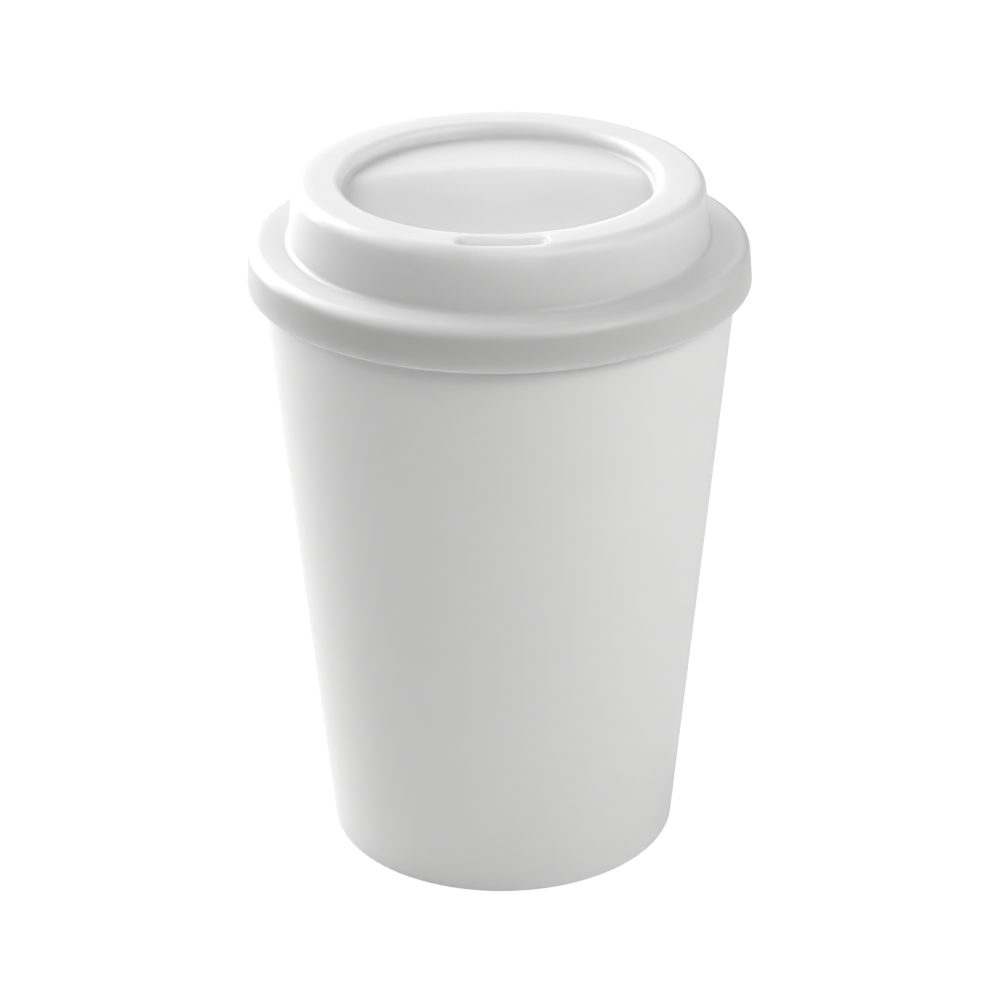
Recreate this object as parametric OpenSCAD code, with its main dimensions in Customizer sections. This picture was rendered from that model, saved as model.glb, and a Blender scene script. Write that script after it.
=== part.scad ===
/* [Cup] */
// Height of the cup up to its rim, without the lid
cup_h = 119.2; // [100:1:150]
// Outer diameter at the foot
foot_d = 67.3; // [56:0.1:76]
// Outer diameter at the rim
mouth_d = 89.8; // [84:0.1:100]
// Thickness of the outer shell
shell_t = 1.7; // [1.4:0.1:2]
// Thickness of the inner liner
liner_t = 1.5; // [1.2:0.1:1.8]
// Air between the shell and the liner, measured level
air_gap = 2.6; // [2:0.1:4]
// How far the underside is sunk above the foot
foot_sink = 1.6; // [0.8:0.1:3]
// Width of the foot's standing ring
foot_w = 2.6; // [2:0.1:5]
// Height of the rim that the liner lays over the shell
rim_h = 2; // [1.5:0.1:3]

/* [Lid] */
// Height of the band that hangs over the cup's wall
band_h = 8.2; // [7:0.1:12]
// Thickness of the band
band_t = 1.7; // [1.4:0.1:2.2]
// Gap between the band and the cup's rim
band_gap = 0.4; // [0.3:0.05:0.8]
// Radius of the band's upper edge
band_round = 2.5; // [1.5:0.1:3]
// Height of the raised ring above the shoulder
dome_h = 11.7; // [8:0.1:16]
// How far the raised ring's foot stands out from the skirt below it
ring_step = 1.1; // [0.5:0.1:2]
// Width of the raised ring at its top
ring_w = 9; // [8.6:0.1:12]
// Radius of the raised ring's outer upper edge
ring_round = 2.4; // [1.5:0.1:2.8]
// Radius of the recess's upper edge
recess_round = 1.5; // [1:0.1:2.4]
// Thickness of the raised ring's top
ring_top_t = 2.6; // [2:0.1:3]
// Thickness of the lid's other walls
lid_t = 1.75; // [1.4:0.05:2]

/* [Recess and drinking slot] */
// Depth of the rear shelf below the ring's top
shelf_depth = 2.9; // [2.6:0.1:4]
// Distance of the scoop's edge behind the lid's middle
scoop_edge_y = 12.3; // [5:0.1:18]
// Radius of the scoop's edge, seen from above
scoop_edge_r = 62.7; // [50:0.1:90]
// Slope of the scoop at its edge, in degrees
scoop_slope = 13; // [8:0.1:14]
// Length of the drinking slot along the ring
slot_l = 17.5; // [12:0.1:24]
// Width of the drinking slot
slot_w = 5.2; // [3:0.1:5.4]

/* [Thread and seal] */
// Air between the shell and the liner's threaded mouth, measured at the rim
mouth_air = 2.1; // [1.8:0.1:3]
// Height of the threads out of their walls
thread_t = 1; // [0.8:0.05:1.1]
// Gap between a thread's crest and the wall beyond it
thread_gap = 0.5; // [0.4:0.05:0.6]
// Rise of the lid in one turn
thread_lead = 8; // [7.6:0.1:8.4]
// Height of one thread at its crest
crest_h = 0.8; // [0.6:0.05:1]
// Turn that one thread covers, in degrees
thread_arc = 120; // [90:5:150]
// Depth of the liner's ribs below the cup's rim
thread_inset = 0.95; // [0.8:0.05:3]
// Thickness of the seal
seal_t = 1.5; // [1.2:0.1:2]
// Width of the seal
seal_w = 5; // [3:0.1:5.4]
// Gap between the seal and the skirt
seal_gap = 0.3; // [0.2:0.05:0.5]

/* [Hidden] */
$fn = 96;

// Cup, from the foot upwards
foot_r = foot_d / 2;
mouth_r = mouth_d / 2;
wall_slope = (mouth_r - foot_r) / cup_h;
rim_z = cup_h - rim_h;
base_t = shell_t + 0.1;
base_top = foot_sink + base_t;
floor_z = base_top + air_gap;
foot_round = 0.6;
rim_round = 0.8;
collar_h = 3.6;
collar_gap = 0.15;

// Thread: the liner's ribs point inwards and the skirt's ridges outwards, half a pitch below them
thread_r = mouth_r - shell_t - mouth_air - liner_t;
skirt_r = thread_r - thread_t - thread_gap;
thread_root = crest_h + 0.8;
thread_starts = 2;
thread_steps = 20;
rib_z = cup_h - thread_inset - thread_root / 2 - thread_lead * thread_arc / 360;
ridge_z = rib_z - thread_lead / thread_starts / 2;
skirt_z = ridge_z - thread_root / 2 - 0.5;

// Lid, from the band's lower edge upwards
seal_z = cup_h;
shoulder_under = seal_z + seal_t;
shoulder_z = shoulder_under + lid_t;
band_z = shoulder_z - band_h;
band_in_r = mouth_r + band_gap;
band_r = band_in_r + band_t + 0.2;
band_taper = 0.4;
band_edge = 0.5;
top_z = shoulder_z + dome_h;
dome_taper = 0.8;
dome_fillet = 1;
ring_out_r = skirt_r + ring_step - dome_taper;
ring_in_r = ring_out_r - ring_w;
skirt_t = lid_t;

// Recess: a shelf at the back, and a shallow round scoop in front of it
shelf_z = top_z - shelf_depth;
scoop_r = scoop_edge_r / sin(scoop_slope);
scoop_y = scoop_edge_y - scoop_edge_r;
scoop_z = shelf_z + scoop_r * cos(scoop_slope);
recess_draft = 4;

// Drinking slot, on the middle of the ring
slot_r = (ring_out_r + ring_in_r) / 2;
slot_end = (slot_l - slot_w) / 2 / slot_r * 180 / PI;

// Outer radius of the shell and inner radius of the liner at a height
function shell_r(z) = foot_r + wall_slope * z;
function liner_r(z) = shell_r(z) - shell_t - air_gap - liner_t;

// Radius of the recess's wall at a height
function recess_r(z) = ring_in_r - tan(recess_draft) * (top_z - recess_round - z);

// Points of an arc about c, from the angle a to the angle b
function arc(c, r, a, b, n = 6) =
    [for (i = [0:n]) c + r * [cos(a + (b - a) * i / n), sin(a + (b - a) * i / n)]];

// Tapered outer wall with a sunk base inside a standing ring
module outer_shell() {
    foot_in = foot_r - foot_w;
    color("white")
    rotate_extrude()
    polygon(concat(
        [[0, foot_sink], [foot_in - 1, foot_sink]],
        [[foot_in, 0.3], [foot_in + 0.3, 0]],
        arc([foot_r - foot_round, foot_round], foot_round, -90, -5, 4),
        [[shell_r(rim_z), rim_z], [shell_r(rim_z) - shell_t, rim_z]],
        arc([shell_r(base_top) - shell_t - 2, base_top + 2], 2, 0, -90, 5),
        [[0, base_top]]
    ));
}

// One helical thread on a wall of radius r: out is 1 for a ridge and -1 for a rib
module thread(r, out, z0, turn) {
    // Section as radius and height, with its root sunk into the wall along the flanks
    sink = 0.5;
    root_h = thread_root / 2 + sink * (thread_root - crest_h) / 2 / thread_t;
    section = [
        [r - out * sink, -root_h], [r + out * thread_t, -crest_h / 2],
        [r + out * thread_t, crest_h / 2], [r - out * sink, root_h]
    ];
    n = len(section);
    turned = [for (i = [0:thread_steps]) [turn + thread_arc * i / thread_steps, thread_arc * i / thread_steps / 360]];
    points = [for (t = turned, p = section) [p[0] * cos(t[0]), p[0] * sin(t[0]), z0 + thread_lead * t[1] + p[1]]];
    sides = [for (i = [0:thread_steps - 1], j = [0:n - 1])
        let (k = (j + 1) % n) [i * n + j, i * n + k, (i + 1) * n + k, (i + 1) * n + j]];
    ends = [[for (j = [n - 1:-1:0]) j], [for (j = [0:n - 1]) thread_steps * n + j]];
    triangles = [for (f = concat(sides, ends), i = [1:len(f) - 2]) [f[0], f[i], f[i + 1]]];
    faces = [for (t = triangles) out > 0 ? t : [t[2], t[1], t[0]]];
    polyhedron(points, faces, convexity = 6);
}

// Inner cup, with the rim laid over the shell and two thread ribs in its mouth
module inner_liner() {
    mouth_z = skirt_z - 3;
    bend_z = mouth_z - 3;
    collar_z = rim_z - collar_h;
    wall_out = thread_r + liner_t;
    color("whitesmoke") {
        rotate_extrude()
        polygon(concat(
            [[0, floor_z]],
            arc([liner_r(floor_z + 5) + liner_t - 5, floor_z + 5], 5, -90, -5, 6),
            [[liner_r(bend_z) + liner_t, bend_z], [wall_out, mouth_z], [wall_out, collar_z - 1]],
            [[shell_r(collar_z) - shell_t - collar_gap, collar_z]],
            [[shell_r(rim_z) - shell_t - collar_gap, rim_z], [shell_r(rim_z), rim_z]],
            arc([mouth_r - rim_round, cup_h - rim_round], rim_round, 5, 90, 4),
            arc([thread_r + rim_round, cup_h - rim_round], rim_round, 90, 180, 4),
            [[thread_r, mouth_z], [liner_r(bend_z), bend_z]],
            arc([liner_r(floor_z + 5) - 3.5, floor_z + liner_t + 3.5], 3.5, -5, -90, 6),
            [[0, floor_z + liner_t]]
        ));
        for (i = [0:thread_starts - 1])
            thread(thread_r, -1, rib_z, 360 / thread_starts * i);
    }
}

// Soft ring between the lid's shoulder and the cup's rim
module lid_seal() {
    color("gainsboro")
    translate([0, 0, seal_z])
    difference() {
        cylinder(h = seal_t, r = skirt_r + seal_gap + seal_w);
        translate([0, 0, -1]) cylinder(h = seal_t + 2, r = skirt_r + seal_gap);
    }
}

// Band, shoulder, raised ring and skirt as one turned shape. The recess's wall runs on down inside it.
module lid_ring() {
    dome_in = ring_out_r - lid_t;
    under_top = top_z - ring_top_t;
    rotate_extrude()
    polygon(concat(
        [[recess_r(skirt_z), skirt_z]],
        arc([ring_in_r + recess_round, top_z - recess_round], recess_round, 180 - recess_draft, 90),
        arc([ring_out_r - ring_round, top_z - ring_round], ring_round, 90, 5),
        arc([ring_out_r + dome_taper + dome_fillet, shoulder_z + dome_fillet], dome_fillet, 185, 270, 4),
        arc([band_r - band_taper - band_round, shoulder_z - band_round], band_round, 90, 5),
        arc([band_r - band_edge, band_z + band_edge], band_edge, 0, -90, 3),
        [[band_in_r, band_z], [band_in_r, shoulder_under], [skirt_r, shoulder_under]],
        [[skirt_r, skirt_z + 0.4], [skirt_r - 0.4, skirt_z], [skirt_r - skirt_t, skirt_z]],
        [[skirt_r - skirt_t, shoulder_z + 0.2], [dome_in + dome_taper - 0.1, shoulder_z + 1]],
        arc([dome_in - 1, under_top - 1], 1, 5, 90, 3),
        [[recess_r(under_top) + lid_t, under_top], [recess_r(skirt_z) + lid_t, skirt_z]]
    ));
}

// What lies below the recess's floor: at its face, or one wall under it where grow says so
module below_floor(r, grow) {
    difference() {
        translate([0, 0, skirt_z - 1 - grow]) cylinder(h = shelf_z - skirt_z + 1, r = r);
        translate([0, scoop_y, scoop_z])
            rotate_extrude() polygon(concat([[0, 0]], arc([0, 0], scoop_r + grow, -90, -70, 10)));
    }
}

// Curved slot through the ring's top, at the front
module drinking_slot() {
    end_r = slot_w / 2;
    translate([0, 0, top_z - ring_top_t - 2])
    rotate([0, 0, -90])
    linear_extrude(ring_top_t + 4)
    polygon(concat(
        arc([0, 0], slot_r + end_r, -slot_end, slot_end, 8),
        arc(slot_r * [cos(slot_end), sin(slot_end)], end_r, slot_end + 15, slot_end + 165, 10),
        arc([0, 0], slot_r - end_r, slot_end, -slot_end, 8),
        arc(slot_r * [cos(slot_end), -sin(slot_end)], end_r, 195 - slot_end, 345 - slot_end, 10)
    ));
}

module lid() {
    color("white") {
        difference() {
            union() {
                lid_ring();
                below_floor(ring_in_r + 0.6, 0);
            }
            below_floor(slot_r, lid_t);
            drinking_slot();
        }
        for (i = [0:thread_starts - 1])
            thread(skirt_r, 1, ridge_z, 360 / thread_starts * i);
    }
}

outer_shell();
inner_liner();
lid_seal();
lid();
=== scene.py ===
from math import cos, hypot, pi, radians, sin, sqrt, tan
import bmesh
import bpy
from mathutils import Matrix, Vector


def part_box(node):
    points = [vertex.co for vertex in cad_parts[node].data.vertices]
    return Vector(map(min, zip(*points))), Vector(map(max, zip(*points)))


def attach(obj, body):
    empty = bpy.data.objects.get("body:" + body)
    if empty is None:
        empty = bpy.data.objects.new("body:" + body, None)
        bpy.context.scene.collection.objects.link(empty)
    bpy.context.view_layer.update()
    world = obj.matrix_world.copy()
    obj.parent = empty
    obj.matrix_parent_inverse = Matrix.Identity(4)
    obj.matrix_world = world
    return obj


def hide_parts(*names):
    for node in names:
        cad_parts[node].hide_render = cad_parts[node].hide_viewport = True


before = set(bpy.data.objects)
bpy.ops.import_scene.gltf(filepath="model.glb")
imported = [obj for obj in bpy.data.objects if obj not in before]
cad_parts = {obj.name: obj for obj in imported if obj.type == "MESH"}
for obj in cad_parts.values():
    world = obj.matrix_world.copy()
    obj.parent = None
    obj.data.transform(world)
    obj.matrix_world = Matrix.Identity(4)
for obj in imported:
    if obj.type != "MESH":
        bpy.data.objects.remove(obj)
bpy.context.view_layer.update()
mm = 0.001
weld = 0.002 * mm     # Points closer than this are one
print("frame loaded")


# Camera: stands in front of the cup, a little to its left, and looks down on it
camera = {
    "target": (-0.2, 0, 67.7),   # mm
    "distance": 653.8,           # mm
    "pitch": 25.34,              # degrees down
    "around": -0.7,              # degrees, seen from above
    "roll": -0.42,
    "lens": 121.8,               # mm
    "sensor": 36,                # mm
    "nearest": 10,               # mm, where its view begins
}


def addCamera(c):
    data = bpy.data.cameras.new("photoCamera")
    data.lens = c["lens"]
    data.sensor_width = c["sensor"]
    data.clip_start = c["nearest"] * mm
    camObject = bpy.data.objects.new("photoCamera", data)
    bpy.context.scene.collection.objects.link(camObject)
    turn = Matrix.Rotation(radians(c["around"]), 4, "Z")
    tilt = Matrix.Rotation(radians(90 - c["pitch"]), 4, "X")
    roll = Matrix.Rotation(radians(c["roll"]), 4, "Z")
    back = Matrix.Translation((0, 0, c["distance"] * mm))
    camObject.matrix_world = Matrix.Translation(Vector(c["target"]) * mm) @ turn @ tilt @ roll @ back
    bpy.context.scene.camera = camObject


addCamera(camera)
print("camera placed")


# An outline's corners are (radius, height, rounding), all in mm
facet = {"turn": 11, "fewest": 3}     # Degrees that one facet of a rounding turns, and its fewest facets


def roundCorner(bm, vert, radius):
    ways = [(edge.other_vert(vert).co - vert.co).normalized() for edge in vert.link_edges]
    turning = pi - ways[0].angle(ways[1])
    bmesh.ops.bevel(bm, geom=[vert], affect="VERTICES", offset=radius * mm * tan(turning / 2),
                    offset_type="OFFSET", profile=0.5, material=-1,
                    segments=max(facet["fewest"], round(turning / radians(facet["turn"]))))


def drawOutline(bm, corners, closed=False):
    verts = [bm.verts.new((corner[0] * mm, 0, corner[1] * mm)) for corner in corners]
    for pair in zip(verts, verts[1:] + (verts[:1] if closed else [])):
        bm.edges.new(pair)
    for vert, corner in zip(verts, corners):
        if len(corner) > 2:
            roundCorner(bm, vert, corner[2])


def cutLong(bm, longest, within=1000):
    # Halves every edge longer than this, again and again, up to a distance from the axis
    def tooLong(edge):
        return edge.calc_length() > longest * mm and all(vert.co.x < within * mm for vert in edge.verts)

    while longEdges := [edge for edge in bm.edges if tooLong(edge)]:
        bmesh.ops.subdivide_edges(bm, edges=longEdges, cuts=1)


def turnOutline(bm, steps):
    bmesh.ops.spin(bm, geom=bm.verts[:] + bm.edges[:], cent=(0, 0, 0), axis=(0, 0, 1),
                   angle=2 * pi, steps=steps, use_merge=True)
    bmesh.ops.remove_doubles(bm, verts=bm.verts, dist=weld)
    bmesh.ops.recalc_face_normals(bm, faces=bm.faces)


def meshOf(bm, name):
    mesh = bpy.data.meshes.new(name)
    for face in bm.faces:
        face.smooth = True
    bm.to_mesh(mesh)
    bm.free()
    return mesh


def addThread(bm, t, wallRadius, middle, out):
    # Outwards for the skirt's ridges, inwards for the liner's ribs
    for start in range(t["starts"]):
        ridge = bmesh.new()
        foot = wallRadius - out * t["sunk"]
        crest = wallRadius + out * t["height"]
        drawOutline(ridge, [
            (foot, middle - t["footWidth"] / 2), (crest, middle - t["crestWidth"] / 2, t["ease"]),
            (crest, middle + t["crestWidth"] / 2, t["ease"]), (foot, middle + t["footWidth"] / 2),
        ], closed=True)
        firstEnd = bmesh.ops.contextual_create(ridge, geom=ridge.edges[:])["faces"]
        bmesh.ops.rotate(ridge, verts=ridge.verts, cent=(0, 0, 0),
                         matrix=Matrix.Rotation(2 * pi * start / t["starts"], 3, "Z"))
        rise = t["lead"] * mm * t["arc"] / 360
        bmesh.ops.spin(ridge, geom=firstEnd, cent=(0, 0, 0), axis=(0, 0, 1), dvec=(0, 0, rise / t["steps"]),
                       angle=radians(t["arc"]), steps=t["steps"])
        bmesh.ops.recalc_face_normals(ridge, faces=ridge.faces)
        ridgeMesh = meshOf(ridge, "ridge")
        bm.from_mesh(ridgeMesh)
        bpy.data.meshes.remove(ridgeMesh)


def addPiece(mesh, node, body, material):
    piece = bpy.data.objects.new(mesh.name, mesh)
    bpy.context.scene.collection.objects.link(piece)
    mesh.materials.append(material)
    evenNormals = piece.modifiers.new("evenNormals", "WEIGHTED_NORMAL")
    evenNormals.keep_sharp = False
    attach(piece, body)
    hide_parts(node)
    print(mesh.name, "made with", len(mesh.polygons), "faces")


# Shader maths: a wire is a socket that takes part in Python expressions
class Wire:
    def __init__(self, shader, socket):
        self.shader = shader
        self.socket = socket

    def maths(self, operation, first, second):
        return self.shader.node("ShaderNodeMath", {"operation": operation}, {0: first, 1: second})

    def __add__(self, other):
        return self.maths("ADD", self, other)

    def __sub__(self, other):
        return self.maths("SUBTRACT", self, other)

    def __rsub__(self, other):
        return self.maths("SUBTRACT", other, self)

    def __mul__(self, other):
        return self.maths("MULTIPLY", self, other)

    __radd__ = __add__


class Shader:
    def __init__(self, name):
        self.material = bpy.data.materials.new(name)
        self.material.use_nodes = True
        self.tree = self.material.node_tree
        self.tree.nodes.clear()

    def node(self, kind, settings, values, output=0):
        made = self.tree.nodes.new(kind)
        for key, value in settings.items():
            setattr(made, key, value)
        for key, value in values.items():
            if isinstance(value, Wire):
                self.tree.links.new(value.socket, made.inputs[key])
            else:
                made.inputs[key].default_value = value
        return Wire(self, made.outputs[output]) if made.outputs else made


# Moulded plastic: a faint cloudiness, a fine grain and a slight waviness of the wall
plastic = {
    "refraction": 1.49, "noiseMiddle": 0.5,
    "waveHeight": 0.4, "grainHeight": 0.05,     # mm
    "grainShine": 0.12, "cloudShine": 0.06,     # How far each noise sways the roughness
}


def mouldedPlastic(name, look):
    shader = Shader(name)
    place = shader.node("ShaderNodeTexCoord", {}, {}, "Object")

    def noise(size, detail):
        return shader.node("ShaderNodeTexNoise", {}, {
            "Vector": place, "Scale": 1 / (size * mm), "Detail": detail,
        })

    middle = plastic["noiseMiddle"]
    cloud = noise(look["cloudSize"], detail=2)
    grain = noise(look["grainSize"], detail=2)
    wave = noise(look["waveSize"], detail=1)
    tone = 1 + (cloud - middle) * (2 * look["cloud"])
    if "paintedShade" in look:     # Painted shade: darker below a height, standing in for the shade on the band
        height = shader.node("ShaderNodeSeparateXYZ", {}, {0: place}, "Z")
        below = shader.node("ShaderNodeMapRange", {"interpolation_type": "SMOOTHSTEP"}, {
            "Value": height, "From Min": look["paintedShadeTop"] * mm, "From Max": look["paintedShadeFoot"] * mm,
        })
        tone = tone * (1 - below * look["paintedShade"])
    colour = shader.node("ShaderNodeVectorMath", {"operation": "SCALE"}, {0: look["colour"], "Scale": tone})
    sway = (grain - middle) * plastic["grainShine"]
    roughness = look["roughness"] + sway + (cloud - middle) * plastic["cloudShine"]
    waved = shader.node("ShaderNodeBump", {}, {
        "Height": wave, "Strength": look["wave"], "Distance": plastic["waveHeight"] * mm,
    })
    grained = shader.node("ShaderNodeBump", {}, {
        "Height": grain, "Strength": look["grain"], "Distance": plastic["grainHeight"] * mm, "Normal": waved,
    })
    surface = shader.node("ShaderNodeBsdfPrincipled", {}, {
        "Base Color": colour, "Roughness": roughness, "IOR": plastic["refraction"], "Normal": grained,
        "Subsurface Weight": look["soak"], "Subsurface Radius": (1, 1, 1),
        "Subsurface Scale": look["soakDepth"] * mm,
    })
    shader.node("ShaderNodeOutputMaterial", {}, {"Surface": surface})
    return shader.material


# Outer shell: a straight taper on a standing ring, with the underside sunk inside it
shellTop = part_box("outer_shell")[1] / mm
shell = {
    "footRadius": 33.65, "wall": 1.7, "footRound": 0.6, "base": 1.8, "inCorner": 2,
    "ringWidth": 2.6, "ringSlope": 0.7, "ringRound": 0.3, "sunk": 1.6, "sunkRound": 0.6,
    "floorStep": 0.3, "longest": 12, "steps": 192,
    "look": {"colour": (0.86, 0.86, 0.855), "cloud": 0.012, "cloudSize": 38, "roughness": 0.42,
             "grain": 0.05, "grainSize": 0.45, "wave": 0.03, "waveSize": 16, "soak": 0, "soakDepth": 1},
}


def makeShell(s):
    bm = bmesh.new()
    ringRadius = s["footRadius"] - s["ringWidth"]
    drawOutline(bm, [
        (0, s["sunk"]), (ringRadius - s["ringSlope"], s["sunk"], s["sunkRound"]),
        (ringRadius, 0, s["ringRound"]), (s["footRadius"], 0, s["footRound"]),
        (shellTop.x, shellTop.z), (shellTop.x - s["wall"], shellTop.z),
        (s["footRadius"] + s["floorStep"] - s["wall"], s["sunk"] + s["base"], s["inCorner"]),
        (0, s["sunk"] + s["base"]),
    ])
    cutLong(bm, s["longest"])
    turnOutline(bm, s["steps"])
    return meshOf(bm, "cupShell")


addPiece(makeShell(shell), "outer_shell", "cup",
         mouldedPlastic("shellPlastic", shell["look"]))


# Thread: two starts, with the skirt's ridges half a pitch below the liner's ribs
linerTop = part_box("inner_liner")[1].z / mm
thread = {
    "starts": 2, "lead": 8, "arc": 120, "steps": 40, "height": 1, "sunk": 0.5,
    "footWidth": 2, "crestWidth": 0.8, "ease": 0.2, "ribDepth": 4.417,
}

# Inner liner: the drink's own cup, with its rim laid over the shell
liner = {
    "floor": 6, "floorRadius": 28.42, "wall": 1.5, "floorRound": 3.5, "bendRadius": 37.81, "bend": 105.48,
    "mouthRadius": 39.6, "mouthFoot": 108.48, "bendRound": 1, "rim": 2, "rimRound": 0.8, "rimOver": 0.2,
    "collar": 3.6, "collarGap": 0.15, "collarTaper": 0.3, "collarRun": 1, "longest": 12, "steps": 192,
    "look": {"colour": (0.84, 0.84, 0.835), "cloud": 0.012, "cloudSize": 38, "roughness": 0.38,
             "grain": 0.04, "grainSize": 0.45, "wave": 0.02, "waveSize": 16, "soak": 0, "soakDepth": 1},
}


def makeLiner(s, t):
    bm = bmesh.new()
    inShell = shellTop.x - shell["wall"] - s["collarGap"]
    rimFoot = linerTop - s["rim"]
    collarFoot = rimFoot - s["collar"]
    drawOutline(bm, [
        (0, s["floor"]), (s["floorRadius"] + s["wall"], s["floor"], s["floorRound"] + s["wall"]),
        (s["bendRadius"] + s["wall"], s["bend"], s["bendRound"]),
        (s["mouthRadius"] + s["wall"], s["mouthFoot"], s["bendRound"]),
        (s["mouthRadius"] + s["wall"], collarFoot - s["collarRun"]), (inShell - s["collarTaper"], collarFoot),
        (inShell, rimFoot), (shellTop.x, rimFoot), (shellTop.x + s["rimOver"], linerTop, s["rimRound"]),
        (s["mouthRadius"], linerTop, s["rimRound"]), (s["mouthRadius"], s["mouthFoot"], s["bendRound"]),
        (s["bendRadius"], s["bend"], s["bendRound"]),
        (s["floorRadius"], s["floor"] + s["wall"], s["floorRound"]), (0, s["floor"] + s["wall"]),
    ])
    cutLong(bm, s["longest"])
    turnOutline(bm, s["steps"])
    addThread(bm, t, s["mouthRadius"], linerTop - t["ribDepth"], -1)
    return meshOf(bm, "cupLiner")


addPiece(makeLiner(liner, thread), "inner_liner", "cup",
         mouldedPlastic("linerPlastic", liner["look"]))


# Seal: a flat soft ring with eased edges
seal = {
    "ease": 0.3, "width": 5, "steps": 160,
    "look": {"colour": (0.76, 0.76, 0.75), "cloud": 0.02, "cloudSize": 20, "roughness": 0.55,
             "grain": 0.08, "grainSize": 0.3, "wave": 0.02, "waveSize": 8, "soak": 1, "soakDepth": 1},
}


def makeSeal(s):
    low, high = (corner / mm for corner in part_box("lid_seal"))
    bm = bmesh.new()
    drawOutline(bm, [(high.x - s["width"], low.z, s["ease"]), (high.x, low.z, s["ease"]),
                     (high.x, high.z, s["ease"]), (high.x - s["width"], high.z, s["ease"])], closed=True)
    turnOutline(bm, s["steps"])
    return meshOf(bm, "sealRing")


addPiece(makeSeal(seal), "lid_seal", "seal", mouldedPlastic("sealRubber", seal["look"]))


# Lid: one turned shape, whose recess floor is sunk into a scoop before the slot is cut
lidLow, lidHigh = (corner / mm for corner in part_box("lid"))
lid = {
    "wall": 1.75, "shoulder": 122.45, "seat": 120.7, "skirtRadius": 38.1, "ridgeRise": 1.3,
    "bandFoot": 114.25, "bandRadius": 47.23, "bandTopRadius": 46.62, "bandInside": 45.3,
    "bandRound": 2.5, "bandFootRound": 0.5, "bandInsideRound": 0.3,
    "ringRadius": 38.18, "ringFootRadius": 39.29, "ringFillet": 1, "ringRound": 2.4, "ringTop": 2.6,
    "recessRadius": 29.5, "recessRound": 1.5, "floorFillet": 0.9, "draft": 4,
    "shelfDepth": 2.9, "scoopEdge": 12.3, "scoopEdgeRadius": 62.7, "scoopSlope": 13, "scoopSoft": 0.25,
    "slotLength": 16.5, "slotWidth": 4.4, "slotLip": 0.6, "slotDish": 1.7, "slotNarrow": 1.1,
    "slotSideSteps": 24, "slotEndSteps": 16, "slotLipTurn": 16,
    "ease": 0.4, "smallEase": 0.2, "hollowRound": 1, "hollowRise": 1, "hollowStep": 0.2,
    "longest": 0.6, "steps": 256,
    "look": {"colour": (0.88, 0.88, 0.875), "cloud": 0.01, "cloudSize": 38, "roughness": 0.36,
             "grain": 0.05, "grainSize": 0.45, "wave": 0.03, "waveSize": 16, "soak": 0.8, "soakDepth": 6,
             # Painted shade: the band below the shoulder is coloured darker to stand in for the shade it
             # falls in
             "paintedShade": 0.28, "paintedShadeTop": 122.6, "paintedShadeFoot": 120},
}


def scoopDrop(s, x, y):
    # How far the round scoop lies below the shelf at a place, blended softly at its edge
    radius = s["scoopEdgeRadius"] / sin(radians(s["scoopSlope"]))
    away = hypot(x, y - s["scoopEdge"] + s["scoopEdgeRadius"])
    depth = sqrt(radius ** 2 - away ** 2) - radius * cos(radians(s["scoopSlope"]))
    return (depth + sqrt(depth ** 2 + s["scoopSoft"] ** 2)) / 2


def sinkScoop(bm, s, shelf, lean):
    # The floor sinks with the foot of the wall around it, and so does its underside
    near, undersideRise = 0.1, 1     # mm
    for vert in bm.verts:
        x, y, z = vert.co / mm
        radius = hypot(x, y)
        isFloor = radius < s["recessRadius"] and -near < z - shelf < s["floorFillet"] + near
        isUnderside = radius < s["recessRadius"] + s["wall"] and -near < z - shelf + s["wall"] < undersideRise
        if isFloor or isUnderside:
            drop = scoopDrop(s, x, y)
            closer = 1 - lean * drop / s["recessRadius"]
            vert.co = Vector((x * closer, y * closer, z - drop)) * mm


def slotLoop(bm, s, middleRadius, halfAngle, endRadius, height):
    # Once around the slot: along its outer side, around an end, back, and around the other end
    start = Matrix.Rotation(-halfAngle, 4, "Z") @ Vector((0, -middleRadius - endRadius, height))
    tip = [bm.verts.new(start * mm)]
    for side in (1, -1):
        endCentre = Matrix.Rotation(side * halfAngle, 4, "Z") @ Vector((0, -middleRadius, height)) * mm
        along = ((0, 0, 0), side * 2 * halfAngle, s["slotSideSteps"])
        aroundEnd = (endCentre, pi, s["slotEndSteps"])
        for centre, angle, steps in (along, aroundEnd):
            turned = bmesh.ops.spin(bm, geom=tip, cent=centre, axis=(0, 0, 1), angle=angle, steps=steps)
            tip = [part for part in turned["geom_last"] if isinstance(part, bmesh.types.BMVert)]
    bmesh.ops.remove_doubles(bm, verts=bm.verts, dist=weld)
    tolerance = 0.001 * mm
    return [edge for edge in bm.edges
            if all(abs(vert.co.z - height * mm) < tolerance for vert in edge.verts)]


def makeSlotCutter(s, top):
    # From a narrow throat its inner side slopes up to the opening, which has a rounded lip
    lip, narrow = s["slotLip"], s["slotNarrow"]
    past, flareRise, flare = 1, 0.1, 0.5     # mm, how its ends lie clear of the ring's plastic
    levels = [(-s["ringTop"] - past, narrow, -narrow), (-s["slotDish"], narrow, -narrow), (-lip, 0, 0)]
    levels += [(lip * sin(radians(turned)) - lip, 0, lip - lip * cos(radians(turned)))
               for turned in range(s["slotLipTurn"], 90, s["slotLipTurn"])]
    levels += [(flareRise, 0, lip + flare), (past, 0, lip + flare)]
    middleRadius = (s["ringRadius"] + s["recessRadius"]) / 2
    halfAngle = (s["slotLength"] - s["slotWidth"]) / 2 / middleRadius
    bm = bmesh.new()
    loops = [slotLoop(bm, s, middleRadius + shift, halfAngle, s["slotWidth"] / 2 + wider, top + height)
             for height, shift, wider in levels]
    for lower, upper in zip(loops, loops[1:]):
        bmesh.ops.bridge_loops(bm, edges=lower + upper)
    bmesh.ops.contextual_create(bm, geom=loops[0])
    bmesh.ops.contextual_create(bm, geom=loops[-1])
    bmesh.ops.recalc_face_normals(bm, faces=bm.faces)
    return meshOf(bm, "slotCutter")


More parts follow.
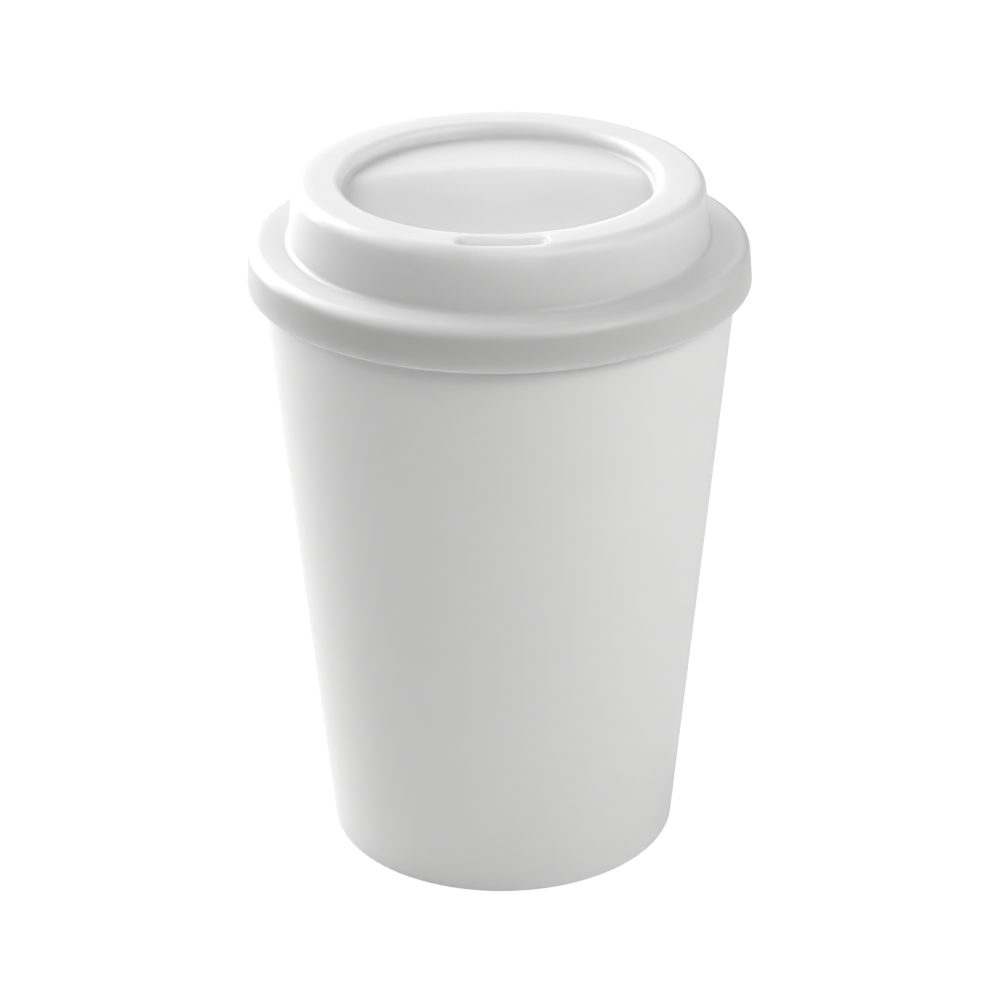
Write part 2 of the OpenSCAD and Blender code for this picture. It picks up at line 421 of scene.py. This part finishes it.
def cutAway(mesh, cutterMesh):
    whole = bpy.data.objects.new("whole", mesh)
    cutter = bpy.data.objects.new("cutter", cutterMesh)
    for each in (whole, cutter):
        bpy.context.scene.collection.objects.link(each)
    cut = whole.modifiers.new("cut", "BOOLEAN")
    cut.operation, cut.solver, cut.object = "DIFFERENCE", "EXACT", cutter
    cutMesh = bpy.data.meshes.new_from_object(whole.evaluated_get(bpy.context.evaluated_depsgraph_get()))
    name = mesh.name
    for each in (mesh, cutterMesh):
        bpy.data.meshes.remove(each)     # Their objects go with them
    cutMesh.name = name
    return cutMesh


def makeLid(s, t):
    bm = bmesh.new()
    top, lean = lidHigh.z, tan(radians(s["draft"]))
    shelf = top - s["shelfDepth"]
    ceiling = top - s["ringTop"]
    recessFoot = s["recessRadius"] - lean * s["shelfDepth"]
    skirtInside = s["skirtRadius"] - s["wall"]
    drawOutline(bm, [
        (0, shelf), (recessFoot, shelf, s["floorFillet"]), (s["recessRadius"], top, s["recessRound"]),
        (s["ringRadius"], top, s["ringRound"]), (s["ringFootRadius"], s["shoulder"], s["ringFillet"]),
        (s["bandTopRadius"], s["shoulder"], s["bandRound"]),
        (s["bandRadius"], s["bandFoot"], s["bandFootRound"]),
        (s["bandInside"], s["bandFoot"], s["bandInsideRound"]), (s["bandInside"], s["seat"], s["ease"]),
        (s["skirtRadius"], s["seat"], s["smallEase"]), (s["skirtRadius"], lidLow.z, s["ease"]),
        (skirtInside, lidLow.z, s["ease"]), (skirtInside, s["shoulder"] + s["hollowStep"]),
        (s["ringFootRadius"] - s["wall"] - s["hollowStep"], s["shoulder"] + s["hollowRise"]),
        (s["ringRadius"] - s["wall"], ceiling, s["hollowRound"]),
        (s["recessRadius"] + s["wall"] - s["hollowStep"], ceiling, s["ease"]),
        (recessFoot + s["wall"], shelf - s["wall"], s["ease"]), (0, shelf - s["wall"]),
    ])
    cutLong(bm, s["longest"], within=recessFoot)
    turnOutline(bm, s["steps"])
    sinkScoop(bm, s, shelf, lean)
    addThread(bm, t, s["skirtRadius"], lidLow.z + s["ridgeRise"], 1)
    return cutAway(meshOf(bm, "cupLid"), makeSlotCutter(s, top))


addPiece(makeLid(lid, thread), "lid", "lid", mouldedPlastic("lidPlastic", lid["look"]))


# Stage: a pale floor, white to the camera, that still takes the cup's shadow
stage = {
    "floorReach": 4,     # metres from its middle to an edge
    "floorColour": 0.8, "shadowStrength": 0.2, "white": 1.15, "ambient": 0,
}


def floorPaint(s):
    shader = Shader("floorPaint")
    seen = shader.node("ShaderNodeLightPath", {}, {}, "Is Camera Ray")
    lit = shader.node("ShaderNodeBsdfDiffuse", {}, {"Color": (s["floorColour"],) * 3 + (1,)})
    white = shader.node("ShaderNodeEmission", {}, {"Strength": s["white"]})
    mixed = shader.node("ShaderNodeMixShader", {}, {0: seen * (1 - s["shadowStrength"]), 1: lit, 2: white})
    shader.node("ShaderNodeOutputMaterial", {}, {"Surface": mixed})
    return shader.material


def addFloor(s):
    bm = bmesh.new()
    bmesh.ops.create_grid(bm, x_segments=1, y_segments=1, size=s["floorReach"])
    floor = bpy.data.objects.new("floor", meshOf(bm, "floor"))
    bpy.context.scene.collection.objects.link(floor)
    floor.data.materials.append(floorPaint(s))


def addSky(s):
    world = bpy.data.worlds.new("softSky")
    world.use_nodes = True
    bpy.context.scene.world = world
    nodes, links = world.node_tree.nodes, world.node_tree.links
    nodes.clear()
    seen = nodes.new("ShaderNodeLightPath")
    room = nodes.new("ShaderNodeBackground")
    room.inputs["Strength"].default_value = s["ambient"]
    white = nodes.new("ShaderNodeBackground")
    chosen = nodes.new("ShaderNodeMixShader")
    links.new(seen.outputs["Is Camera Ray"], chosen.inputs[0])
    links.new(room.outputs[0], chosen.inputs[1])
    links.new(white.outputs[0], chosen.inputs[2])
    links.new(chosen.outputs[0], nodes.new("ShaderNodeOutputWorld").inputs["Surface"])


# Lamps: azimuth is seen from above, from the camera's side towards the right, and sizes are in metres
lampTarget = (0, 0, 0.07)
lamps = {
    "backLamp": {"azimuth": 180, "elevation": 27, "distance": 1.2, "size": (1.5, 0.5), "watts": 3.2},
    "backLeftLamp": {"azimuth": -135, "elevation": 38, "distance": 1.2, "size": (0.8, 0.6), "watts": 8.5},
    "lowLeftLamp": {"azimuth": -135, "elevation": 8, "distance": 1.2, "size": (0.8, 0.35), "watts": 7.5},
    "leftLamp": {"azimuth": -90, "elevation": 38, "distance": 1.2, "size": (0.8, 0.6), "watts": 4.2},
    "rightLamp": {"azimuth": 45, "elevation": 38, "distance": 1.2, "size": (0.8, 0.6), "watts": 7.2},
    "highRightLamp": {"azimuth": 45, "elevation": 66, "distance": 1.2, "size": (0.7, 0.6), "watts": 1.7},
    "lowRightLamp": {"azimuth": 90, "elevation": 8, "distance": 1.2, "size": (0.8, 0.35), "watts": 1.7},
}


def addLamp(name, l):
    data = bpy.data.lights.new(name, "AREA")
    data.shape = "RECTANGLE"
    data.size, data.size_y = l["size"]
    data.energy = l["watts"]
    lamp = bpy.data.objects.new(name, data)
    bpy.context.scene.collection.objects.link(lamp)
    around = Matrix.Rotation(radians(l["azimuth"]), 4, "Z")
    tilt = Matrix.Rotation(radians(90 - l["elevation"]), 4, "X")
    turn = around @ tilt
    lamp.visible_camera = False
    lamp.matrix_world = Matrix.Translation(lampTarget) @ turn @ Matrix.Translation((0, 0, l["distance"]))


addFloor(stage)
addSky(stage)
for name, values in lamps.items():
    addLamp(name, values)
bpy.context.scene.view_settings.view_transform = "Standard"
print("stage lit")
